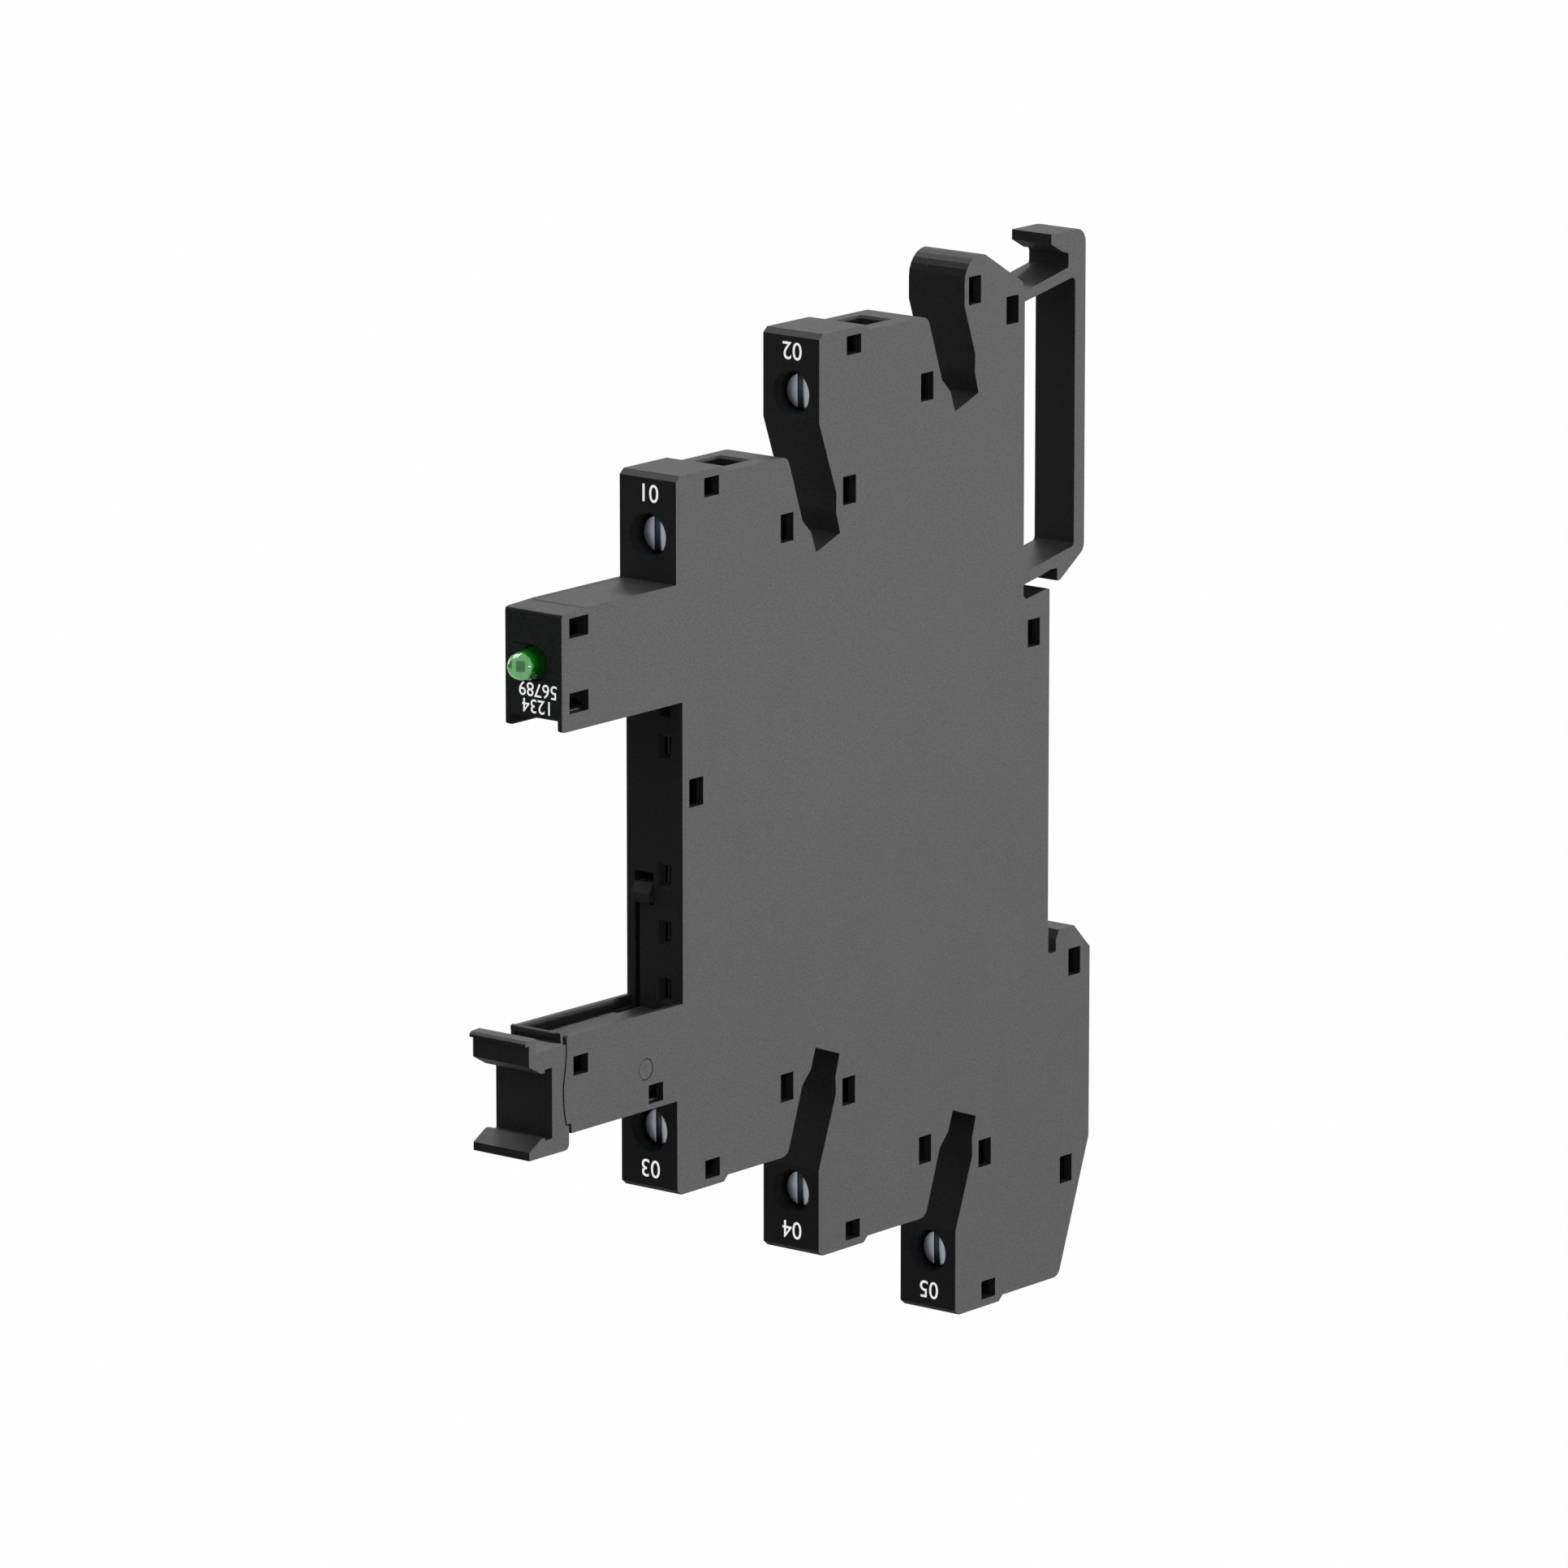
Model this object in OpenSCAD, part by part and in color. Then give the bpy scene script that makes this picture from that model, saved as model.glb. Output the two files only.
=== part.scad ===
// Slim plug-in relay socket for a 35 mm rail.
// Frame: X across the module, -Y toward the screw side, +Z up the rail's height.
// Origin: middle of the seat on the rail. All sizes in millimetres.

/* [Module] */
// Width of the module along the rail
module_w = 6.2; // [5.8:0.1:7.6]
// Thickness of the moulded side wall with the snap windows
side_wall = 0.8; // [0.7:0.05:0.9]
// Thickness of the snap-in lid on the other side
lid_t = 0.8; // [0.7:0.05:0.9]
// Thickness of the walls around the edge
edge_wall = 0.6; // [0.5:0.05:0.7]
// Thickness of the inner ribs
rib_t = 0.8; // [0.6:0.05:0.9]

/* [Terminals] */
// Depth of the first row of terminal fronts in front of the rail seat
front_depth = 52.3; // [47:0.1:58.5]
// Step in height from one terminal to the next
pitch_z = 9.5; // [8.5:0.1:10.7]
// Height of the middle line between the upper and the lower terminals
mid_z = 2.25; // [2:0.05:2.5]
// Height of the first screw axis above the upper arm
screw_rise = 3.9; // [3.5:0.1:4.4]
// Height of a terminal's roof above its screw axis
roof_rise = 5.45; // [4.9:0.05:6.1]
// Radius of the screwdriver bore
bore_r = 1.98; // [1.8:0.02:2.2]

/* [Clamps] */
// Radius of the screw head
head_r = 1.6; // [1.45:0.05:1.75]
// Depth of the screw head below the terminal front
head_sink = 1.3; // [1.1:0.05:1.45]
// Length of the screw head
head_l = 1.95; // [1.75:0.05:2.2]
// Radius of the screw shank
shank_r = 1.25; // [1.1:0.05:1.4]
// Width of the driver slot
slot_w = 0.7; // [0.6:0.02:0.8]
// Depth of the driver slot
slot_d = 0.8; // [0.6:0.1:1.0]
// Running clearance between the shank and its holes
shank_gap = 0.05; // [0.03:0.01:0.08]
// Thickness of the clamp cage's sheet
cage_t = 0.6; // [0.5:0.05:0.7]
// Thickness of the cage's threaded side
nut_t = 1.2; // [1.0:0.1:1.4]
// Height of the cage along the wire
cage_h = 4.4; // [4:0.1:4.8]
// Travel of the cage from open to closed
cage_travel = 2.5; // [2.2:0.1:2.8]

/* [Wire entries] */
// Width of the wire entry across the module
entry_w = 3.0; // [2.6:0.1:3.4]
// Length of the wire entry along the depth
entry_l = 3.2; // [2.8:0.1:3.6]
// Lead-in around the wire entry
entry_lead = 0.23; // [0.15:0.01:0.3]
// Sideways place of the wire entry
entry_x = -0.22; // [-0.3:0.01:0]

/* [Relay bay] */
// Height of the bay that takes the relay
bay_h = 28.4; // [25.6:0.1:31.8]
// Drop of the bay's middle below the terminals' middle line
bay_drop = 1.39; // [1.2:0.01:1.6]
// Depth of the bay's back wall behind the first terminal fronts
bay_set = 0.8; // [0.7:0.05:0.9]
// Thickness of the guide lips beside the bay
lip_t = 0.47; // [0.4:0.01:0.53]
// Height of the guide lips
lip_h = 1.0; // [0.8:0.05:1.15]

/* [Arms] */
// Length of the upper arm in front of the first terminals
arm_reach = 15.2; // [13.7:0.1:17]
// Height of the upper arm
arm_h = 9.34; // [8.4:0.02:10.5]
// Height of the lower arm
lower_arm_h = 7.51; // [6.8:0.01:8.4]

/* [Relay contacts] */
// Sideways place of the pin row
pin_x = 1.14; // [1:0.01:1.25]
// Spacing of the two coil pins
coil_pitch = 3.78; // [3.4:0.02:4.2]
// Spacing of the three contact pins
contact_pitch = 5.04; // [4.5:0.02:5.6]
// Distance from the top pin to the upper side of the bay
pin_above = 1.33; // [1.2:0.01:1.5]
// Distance from the bottom pin to the floor of the bay
pin_below = 1.87; // [1.7:0.01:2.1]
// Width of a pin slot
pin_slot_w = 0.7; // [0.6:0.02:0.8]
// Height of a pin slot
pin_slot_h = 1.6; // [1.4:0.05:1.8]
// Lead-in around a pin slot
pin_lead = 0.33; // [0.25:0.01:0.37]
// Sheet thickness of the fork contacts
fork_t = 0.3; // [0.25:0.01:0.35]
// Gap between the fork's leaves
fork_gap = 0.45; // [0.35:0.01:0.5]
// Length of the fork contacts
fork_l = 4.4; // [4:0.1:4.9]
// Height of the fork contacts
fork_h = 2.0; // [1.8:0.1:2.2]
// Width of the conductor strips
strip_w = 3.0; // [2.7:0.1:3.3]
// Thickness of the conductor strips
strip_t = 0.6; // [0.5:0.05:0.7]

/* [Lever] */
// Distance of the lever's pivot in front of the first terminals
pivot_reach = 4.2; // [3.8:0.05:4.7]
// Height of the lever's pivot above the bottom of the lower arm
pivot_rise = 3.65; // [3.3:0.05:4.1]
// Radius of the pivot stubs
pivot_r = 0.88; // [0.8:0.01:0.98]
// Running clearance of the pivot stubs
pivot_gap = 0.07; // [0.05:0.01:0.09]
// Radius of the curved seam about the pivot, on the housing
seam_r = 10.95; // [9.9:0.05:12.2]
// Gap of the curved seam
seam_gap = 0.17; // [0.12:0.01:0.2]
// Clearance beside the lever's arm
lever_side_gap = 0.1; // [0.05:0.01:0.15]
// Thickness of the ejector finger
finger_t = 0.44; // [0.38:0.01:0.49]

/* [Rail clip] */
// Depth of the foot behind the rail seat
foot_back = 6.2; // [5.6:0.1:6.9]
// Room for the spring latch in front of the rail seat
latch_room = 3.8; // [3.4:0.1:4.2]
// Width of the spring latch
latch_w = 4.4; // [4:0.1:4.8]
// Height of the rail that the socket clips on
rail_h = 35; // [32:0.5:39]
// Thickness of the rail's edge
rail_t = 1.0; // [0.9:0.05:1.1]
// Play of the rail in the clip
rail_play = 0.1; // [0.05:0.05:0.2]

/* [Indicator] */
// Radius of the indicator lamp
led_r = 1.45; // [1.3:0.05:1.6]
// How far the lamp stands out of the arm
led_out = 2.8; // [2.4:0.1:3.1]
// Clearance around the lamp
led_gap = 0.12; // [0.08:0.01:0.16]

/* [Snap windows] */
// How far the lid's posts end behind the moulded wall
post_back = 1.9; // [1.6:0.1:2.2]
// Distance from the front of a post to its hook
post_hook = 0.5; // [0.4:0.05:0.6]
// The same distance in the upper arm
arm_hook = 1.8; // [1.6:0.05:2]
// The same distance in the lower arm
lower_arm_hook = 1.15; // [1:0.05:1.3]
// Clearance around the lid's snap posts
post_gap = 0.15; // [0.1:0.01:0.2]
// Fit gap around the lid
lid_gap = 0.05; // [0.03:0.01:0.08]

/* [Hidden] */
$fn = 48;
eps = 0.01;

// Places across the module: outer faces, and the faces of the hollow inside
x_near = module_w / 2;
x_far = -module_w / 2;
in_near = x_near - side_wall;
in_far = x_far + lid_t;

// Lengths of a clamp, from the terminal's front backwards
collar_t = 0.55;
closed_gap = 0.35;
strip_gap = 0.15;
cage_gap = 0.12;
collar_u = head_sink + head_l;
nut_front_u = collar_u + collar_t + closed_gap + cage_travel;
bus_u = nut_front_u + nut_t + strip_gap + strip_t / 2;
entry_u = bus_u + strip_t / 2 + 0.1;
cage_back_u = entry_u + entry_l;
pocket_back_u = cage_back_u + cage_t + cage_gap;
pitch_y = (front_depth + foot_back) / 3;

// Places along the depth that several pieces share
front_y = -front_depth;
front_2_y = front_y + pitch_y;
front_3_y = front_y + 2 * pitch_y;
bay_y = front_y + bay_set;
arm_y = front_y - arm_reach;
pivot_y = front_y - pivot_reach;
nose_y = pivot_y - seam_r + 0.4;
body_back = -latch_room;
collar_y = front_y + collar_u;
bus_y = front_y + bus_u;
entry_y = front_y + entry_u + entry_l / 2;
cage_nut_y = front_y + nut_front_u + nut_t;
cage_back_y = front_y + cage_back_u;

// Heights of the bay and of the relay's five pins, from the top
bay_top = mid_z - bay_drop + bay_h / 2;
bay_floor = mid_z - bay_drop - bay_h / 2;
pin_coil_1 = bay_top - pin_above;
pin_coil_2 = pin_coil_1 - coil_pitch;
pin_com_14 = bay_floor + pin_below;
pin_com_11 = pin_com_14 + contact_pitch;
pin_com_12 = pin_com_11 + contact_pitch;
pins = [pin_coil_1, pin_coil_2, pin_com_12, pin_com_11, pin_com_14];

// Heights that several pieces share
arm_top = bay_top + arm_h;
arm_bottom = bay_floor - lower_arm_h;
pivot_z = arm_bottom + pivot_rise;
led_z = (bay_top + arm_top) / 2;
screw_h = arm_top + screw_rise - mid_z;
roof_h = screw_h + roof_rise;
roof_step = 0.5;
rail_half = rail_h / 2;

// Terminals as [step index, side], side 1 above and -1 below the middle line
TERM_A1 = [0, 1];
TERM_A2 = [1, 1];
TERM_14 = [0, -1];
TERM_11 = [1, -1];
TERM_12 = [2, -1];
TERMS = [TERM_A1, TERM_A2, TERM_14, TERM_11, TERM_12];

// Points of an arc from angle a0 to a1 about c
function arc(c, r, a0, a1, n = 5) =
    [for (i = [0:n]) c + r * [cos(a0 + (a1 - a0) * i / n), sin(a0 + (a1 - a0) * i / n)]];
function reversed(list) = [for (i = [len(list) - 1:-1:0]) list[i]];
// A point of terminal t's own frame, u behind its front and w above the middle line
function place(t, p) =
    [front_y + t[0] * pitch_y + p[0], mid_z + t[1] * (p[1] + t[0] * pitch_z)];
function placed(t, list) = [for (p = list) place(t, p)];

// Moves children from the first upper terminal's frame to terminal t
module at(t) {
    translate([0, t[0] * pitch_y, mid_z])
        mirror([0, 0, t[1] < 0 ? 1 : 0])
            translate([0, 0, t[0] * pitch_z - mid_z]) children();
}
// A flat shape drawn in depth and height, given thickness from x0 to x1
module slab(x0, x1) {
    translate([x0, 0, 0]) rotate([90, 0, 90]) linear_extrude(x1 - x0) children();
}
module block(x0, x1, y0, y1, z0, z1) {
    translate([x0, y0, z0]) cube([x1 - x0, y1 - y0, z1 - z0]);
}
// A round bar along the depth
module bar_y(r, y0, y1, x = 0, z = 0) {
    translate([x, y0, z]) rotate([-90, 0, 0]) cylinder(r = r, h = y1 - y0);
}
// A round bar across the module
module bar_x(r, x0, x1, y, z) {
    translate([x0, y, z]) rotate([0, 90, 0]) cylinder(r = r, h = x1 - x0);
}

// ---- Outline of the housing, in depth and height ----

// Roof of a terminal, with its front chamfer and the step behind it
function roof_pts() = [
    [0, roof_h - 0.45], [0.55, roof_h], [6.35, roof_h], [6.9, roof_h - roof_step]];
// Slot for a plug-in bridge behind a terminal, the same on every step
slot_lip_r = 1.05;
function slot_pts() = concat(
    arc([pitch_y - 5.1, roof_h - roof_step - slot_lip_r], slot_lip_r, 90, 20, 4),
    [[pitch_y - 2.3, screw_h - 1.0], [pitch_y - 1.1, screw_h - 2.2],
     [pitch_y - 0.45, screw_h - 4.05], [pitch_y + 2.9, screw_h - 2.85],
     [pitch_y + 2.35, screw_h - 0.95], [pitch_y + 2.4, screw_h + 0.7]]);
// Lower edge of the next terminal's front
next_front = [pitch_y, screw_h + pitch_z - 2.35];
function step_pts(t) = placed(t, concat(roof_pts(), slot_pts()));
function step_on_pts(t) = concat(step_pts(t), [place(t, next_front)]);

// Rounded head above the topmost terminal
head_r_top = 2.3;
head_top = mid_z + pitch_z + roof_h + 4.0;
head_front = front_3_y + 0.85;
function head_pts() = concat(
    [[head_front, head_top - 4.3]],
    arc([head_front + head_r_top, head_top - head_r_top], head_r_top, 180, 90, 6),
    [[head_front + 2.95, head_top - 0.15], [body_back - 0.35, head_top - 3.28],
     [body_back, head_top - 4.2]]);
// Back of the housing: clip recess, rail seat, groove for the rail's lower edge, foot
groove_y = 0.08;
foot_low = mid_z - 2 * pitch_z - roof_h + 12.75;
function rear_pts() = concat(
    arc([body_back + 0.5, rail_half - 1.65], 0.5, 180, 260, 4),
    [[-0.3, rail_half - 1.68], [0, rail_half - 1.8], [0, -rail_half + 2.4],
     [groove_y, -rail_half + 2.35], [groove_y, -rail_half - 0.1],
     [groove_y + rail_t + rail_play, -rail_half - 0.1],
     [groove_y + rail_t + rail_play, -rail_half + 1.1],
     [foot_back - 4.55, -rail_half + 1.85], [foot_back - 2.35, -rail_half + 1.85],
     [foot_back, -rail_half - 0.5], [foot_back, foot_low]]);
function foot_pts() = concat(
    arc([foot_back - 5.1, place(TERM_12, [0, roof_h])[1] + roof_step + 1.0], 1.0, -22, -90, 4),
    reversed(placed(TERM_12, roof_pts())));
// Front end of the lower arm: a curve about the lever's pivot, set off by d at its top
seam_a = 14.7;
function seam_pts(r, d) = concat(
    arc([pivot_y, pivot_z], r, 180 + seam_a, 176, 5),
    [[nose_y - 0.15 - d, bay_floor - 1.86], [nose_y - d, bay_floor - 0.66]]);

function core_pts() = concat(
    [[bay_y, bay_top], [arm_y, bay_top], [arm_y, arm_top - 0.4],
     [arm_y + 0.1, arm_top - 0.22], [arm_y + 0.3, arm_top - 0.15],
     [arm_y + 3.7, arm_top], [front_y, arm_top]],
    step_on_pts(TERM_A1),
    step_pts(TERM_A2),
    head_pts(), rear_pts(), foot_pts(),
    reversed(step_on_pts(TERM_11)),
    reversed(step_on_pts(TERM_14)),
    [[front_y, arm_bottom], [nose_y + 0.55, arm_bottom],
     [nose_y + 0.55, pivot_z - seam_r * sin(seam_a) - 0.02]],
    seam_pts(seam_r, 0),
    [[nose_y, bay_floor], [bay_y, bay_floor]]);

module core_outline() { polygon(core_pts()); }

// ---- Hollow inside the housing ----

// Room for the lever's arm, open to the front and to the bottom
module lever_room() {
    y0 = nose_y - 1.95;
    y1 = pivot_y - 0.9;
    y2 = pivot_y + 3.5;
    polygon([[y0, arm_bottom - 1], [y0, bay_floor - edge_wall], [y2, bay_floor - edge_wall],
        [y2, arm_bottom + edge_wall], [y1, arm_bottom + edge_wall], [y1, arm_bottom - 1]]);
}
module inner_outline() { offset(delta = -edge_wall) core_outline(); }
module lid_recess() {
    inner_outline();
    lever_room();
}

// A wall of thickness t along a line of points
module wall_line(pts, t = rib_t) {
    for (i = [0:len(pts) - 2]) {
        a = pts[i];
        b = pts[i + 1];
        turn = atan2(b[1] - a[1], b[0] - a[0]);
        translate(a) rotate(turn) translate([-t / 2, -t / 2]) square([norm(b - a) + t, t]);
    }
}

// Courses of the strips: places of their uprights, and heights of their long runs
fork_y = bay_y + edge_wall + 0.3;
fork_back_y = fork_y + fork_l;
coil_strip_y = bay_y + 9.5;
mid_strip_y = bay_y + 9.9;
com_strip_y = bay_y + 12.6;
coil_run_z = bay_top + 4.94;
mid_run_z = bay_floor - 2.66;
com_run_z = bay_floor + 3.34;
barrier_z = mid_z + 1.15;
finger_back = bay_y + 4.1;
// Barriers between the live strips, and stiffening ribs
function rib_lines() = let (
        y1 = coil_strip_y - 1.0,
        y2 = com_strip_y - 1.35,
        z_mid = (com_run_z + mid_run_z) / 2,
        z_low = mid_run_z - 3) [
    [[bay_y, barrier_z], [body_back, barrier_z]],
    [[finger_back, pin_com_12 - contact_pitch / 2], [y2, pin_com_12 - contact_pitch / 2],
     [y2, z_mid], [front_3_y + 4.3, z_mid], [front_3_y + 4.3, z_low - 9]],
    [[finger_back, pin_com_11 - contact_pitch / 2], [y1, pin_com_11 - contact_pitch / 2],
     [y1, z_low], [front_2_y - 0.8, z_low]],
    [[finger_back, pin_coil_2 + coil_pitch / 2], [y1, pin_coil_2 + coil_pitch / 2],
     [y1, bay_top + 1.74]],
    [[front_2_y - 0.2, barrier_z], [front_2_y - 0.2, coil_run_z - 2.5]],
    [[front_3_y - 5.7, barrier_z], [front_3_y - 5.7, mid_z + screw_h + 4.7]],
    [[front_3_y + 1.3, barrier_z], [front_3_y + 1.3, mid_z + screw_h + 1.7]],
    [[front_2_y + 2.8, barrier_z], [front_2_y + 2.8, com_run_z + 1.1]],
    [[front_3_y - 4.7, barrier_z], [front_3_y - 4.7, com_run_z + 1.1]],
    [[front_3_y - 2.7, z_mid], [front_3_y - 2.7, z_low - 8.5]]];

// Solid parts of a terminal: screw block, wire guide, clamp floor and back wall
guide_w = screw_h + cage_h / 2 + 0.3;
clamp_floor_w = screw_h - cage_h / 2 - 0.9;
module terminal_ribs(t) {
    for (r = [[0, collar_u + collar_t, clamp_floor_w, roof_h - edge_wall / 2],
              [bus_u - 0.2, pocket_back_u + edge_wall, guide_w, roof_h - edge_wall / 2 - roof_step],
              [pocket_back_u, pocket_back_u + edge_wall, clamp_floor_w, roof_h - edge_wall / 2 - roof_step],
              [0, bus_u - 0.7, clamp_floor_w - 0.1, clamp_floor_w + 0.5],
              [bus_u + 0.7, pocket_back_u + edge_wall, clamp_floor_w - 0.1, clamp_floor_w + 0.5]])
        polygon([place(t, [r[0], r[2]]), place(t, [r[1], r[2]]),
                 place(t, [r[1], r[3]]), place(t, [r[0], r[3]])]);
}
// Barriers and terminal ribs, with room left for the lid's posts
module ribs() {
    difference() {
        union() {
            for (line = rib_lines()) wall_line(line);
            for (t = TERMS) terminal_ribs(t);
        }
        for (w = windows) translate([w[0], w[2]]) square([w[1] - w[0], w[3] - w[2]]);
    }
}

// ---- Snap windows and posts, as [y0, y1, z0, z1] ----

// Windows that repeat from terminal to terminal, in the terminal's own frame
window_roof = [3.8, 5.8, roof_h - 2.35, roof_h - 0.67];
window_slot = [pitch_y - 5.3, pitch_y - 3.55, screw_h - 2.5, screw_h];
window_next = [pitch_y + 3.3, pitch_y + 5.1, screw_h - 0.5, screw_h + 2.0];
function window_at(t, w) = let (a = place(t, [w[0], w[2]]), b = place(t, [w[1], w[3]]))
    [a[0], b[0], min(a[1], b[1]), max(a[1], b[1])];
windows = concat(
    [for (t = TERMS) window_at(t, window_roof)],
    [for (t = [TERM_A1, TERM_A2, TERM_14, TERM_11]) window_at(t, window_slot)],
    [for (t = [TERM_A1, TERM_14, TERM_11]) window_at(t, window_next)],
    [[arm_y + 1.0, arm_y + 3.5, arm_top - 2.34, arm_top - 0.62],
     [arm_y + 1.0, arm_y + 3.5, bay_top + 0.5, bay_top + 2.28],
     [bay_y + 0.9, bay_y + 2.8, barrier_z + 1.28, barrier_z + 3.76],
     [head_front + 0.6, head_front + 2.35, head_top - 4.35, head_top - 1.85],
     [body_back - 2.65, body_back - 0.9, head_top - 6.85, head_top - 4.35],
     [-3.15, -1.4, rail_half - 6.6, rail_half - 4.1],
     [foot_back - 3.15, foot_back - 1.4, -rail_half - 2.7, -rail_half - 0.2],
     [foot_back - 4.25, foot_back - 2.5, foot_low - 3.7, foot_low - 1.2],
     [nose_y + 0.85, nose_y + 2.8, bay_floor - 2.56, bay_floor - 0.86],
     [pivot_y + 0.35, pivot_y + 2.3, arm_bottom + 0.5, arm_bottom + 2.15]]);

// ---- Housing ----

// A slot across the depth whose mouth, of size lead wider on every side, faces -Y
module pin_slot(z) {
    hw = pin_slot_w / 2;
    hh = pin_slot_h / 2;
    block(pin_x - hw, pin_x + hw, bay_y - eps, bay_y + edge_wall + 1, z - hh, z + hh);
    intersection() {
        translate([0, 0, z - hh - 2]) linear_extrude(pin_slot_h + 4)
            polygon([[pin_x - hw - pin_lead, bay_y - eps], [pin_x + hw + pin_lead, bay_y - eps],
                [pin_x + hw, bay_y + 0.45], [pin_x - hw, bay_y + 0.45]]);
        slab(pin_x - 3, pin_x + 3)
            polygon([[bay_y - eps, z - hh - pin_lead], [bay_y - eps, z + hh + pin_lead],
                [bay_y + 0.45, z + hh], [bay_y + 0.45, z - hh]]);
    }
}
// Wire entry through a terminal's roof, with a lead-in all round
module wire_entry() {
    top = mid_z + roof_h - roof_step;
    hw = entry_w / 2;
    hl = entry_l / 2;
    block(entry_x - hw, entry_x + hw, entry_y - hl, entry_y + hl, top - 4, top + 1);
    intersection() {
        translate([0, entry_y - hl - 2, 0]) rotate([-90, 0, 0]) mirror([0, 1, 0])
            linear_extrude(entry_l + 4)
                polygon([[entry_x - hw, top - entry_lead], [entry_x + hw, top - entry_lead],
                    [entry_x + hw + entry_lead, top + eps], [entry_x - hw - entry_lead, top + eps]]);
        slab(entry_x - 4, entry_x + 4)
            polygon([[entry_y - hl, top - entry_lead], [entry_y + hl, top - entry_lead],
                [entry_y + hl + entry_lead, top + eps], [entry_y - hl - entry_lead, top + eps]]);
    }
}
// Driver bore, with the collar that the screw's head rests on
module screw_bore() {
    z = mid_z + screw_h;
    bar_y(bore_r, front_y - 1, collar_y, 0, z);
    bar_y(shank_r + shank_gap, front_y, collar_y + 2, 0, z);
}

// Opening for the ejector's hook, and the groove below it for the finger
hook_z0 = pin_com_12 - 2.76;
hook_z1 = pin_com_12 + 0.04;
finger_x = in_far + 0.13;
finger_gap = 0.04;
module ejector_openings() {
    block(finger_x - finger_gap, -0.13, bay_y - eps, bay_y + edge_wall + 0.5, hook_z0, hook_z1);
    block(finger_x - finger_gap, finger_x + finger_t + finger_gap, bay_y - eps,
        bay_y + edge_wall + 0.5, bay_floor - edge_wall - eps, hook_z0 + eps);
    block(finger_x - finger_gap, finger_x + finger_t + finger_gap, bay_y - 3,
        bay_y + edge_wall + 0.5, bay_floor - edge_wall - eps, bay_floor + eps);
}

// Spring latch that clips behind the rail's upper edge
latch_front = 0;
latch_root = body_back - 0.4;
lug_front = rail_t + rail_play;
latch_in = 3.5;
latch_out = 5.0;
latch_top = head_top + 0.35;
rail_stop = rail_half - 0.05;
function latch_pts() = concat(
    [[latch_root, latch_top - 4.63], [2.15, latch_top - 3.35]],
    arc([2.2, latch_top - 3.05], 0.3, -80, 0, 3),
    arc([2.2, latch_top - 2.2], 0.3, 0, 80, 3),
    [[1.7, latch_top - 1.8], [latch_front, latch_top - 0.9], [latch_front, latch_top]],
    arc([latch_out - 1.3, latch_top - 1.3], 1.3, 90, 0, 5),
    arc([latch_out - 1.0, rail_half + 1.65], 1.0, 0, -57, 4),
    [[lug_front + 0.4, rail_half - 1.2], [lug_front, rail_half - 1.2], [lug_front, rail_stop],
     [0, rail_stop], [-1.1, rail_half - 0.33], [latch_root, rail_half - 0.88],
     [latch_root, rail_half + 0.2]],
    arc([latch_in - 0.4, rail_half + 1.95], 0.4, -80, 0, 3),
    arc([latch_in - 0.5, latch_top - 4.75], 0.5, 0, 80, 4),
    [[latch_root, latch_top - 5.55]]);
module latch() { slab(x_near - latch_w, x_near) polygon(latch_pts()); }

// Guide lips beside the bay, above and below it
module bay_lips() {
    for (x = [x_far, x_near - lip_t]) {
        slab(x, x + lip_t)
            polygon([[arm_y, bay_top + eps], [bay_y + eps, bay_top + eps],
                [bay_y + eps, bay_top - lip_h], [arm_y + 0.3, bay_top - lip_h],
                [arm_y, bay_top - lip_h + 0.15]]);
        slab(x, x + lip_t)
            polygon([[nose_y, bay_floor - eps], [nose_y, bay_floor + lip_h - 0.05],
                [nose_y + 0.15, bay_floor + lip_h + 0.1], [bay_y + eps, bay_floor + lip_h - 0.05],
                [bay_y + eps, bay_floor - eps]]);
    }
}

// Round bead at the front of the bay's floor that keeps the relay in its seat
module bay_stop() {
    intersection() {
        slab(x_far, x_near)
            polygon(concat(
                [[nose_y, bay_floor - 0.2], [nose_y, bay_floor + 0.1],
                 [nose_y + 0.2, bay_floor + 0.4], [nose_y + 0.2, bay_floor + 0.65],
                 [nose_y - 0.04, bay_floor + 0.75]],
                arc([nose_y + 0.21, bay_floor + 0.93], 0.28, 200, 20, 6),
                [[nose_y + 0.55, bay_floor - 0.2]]));
        translate([0, 0, bay_floor - 1]) linear_extrude(3)
            polygon([[x_far, nose_y - 0.35], [x_near - 1.8, nose_y - 0.35],
                [x_near - 0.9, nose_y + 0.75], [x_far, nose_y + 0.75]]);
    }
}

module housing() {
    color([0.40, 0.40, 0.41]) {
        difference() {
            union() {
                slab(x_far, x_near) core_outline();
                bay_lips();
                bay_stop();
                latch();
            }
            slab(x_far - 1, in_far) lid_recess();
            slab(in_far - eps, in_near) difference() {
                lid_recess();
                ribs();
            }
            for (w = windows) block(in_near - eps, x_near + 1, w[0], w[1], w[2], w[3]);
            for (t = TERMS) at(t) {
                screw_bore();
                wire_entry();
            }
            for (z = pins) pin_slot(z);
            ejector_openings();
            bar_y(led_r + led_gap, arm_y - 1, arm_y + edge_wall + 1, 0, led_z);
            bar_x(pivot_r + pivot_gap, in_near - 1, x_near + 1, pivot_y, pivot_z);
        }
    }
}

// ---- Lid ----

// Distance from the front of the post to its hook at window w
function hook_at(w) =
    w[1] > front_y ? post_hook : w[2] > bay_top ? arm_hook : lower_arm_hook;
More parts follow.
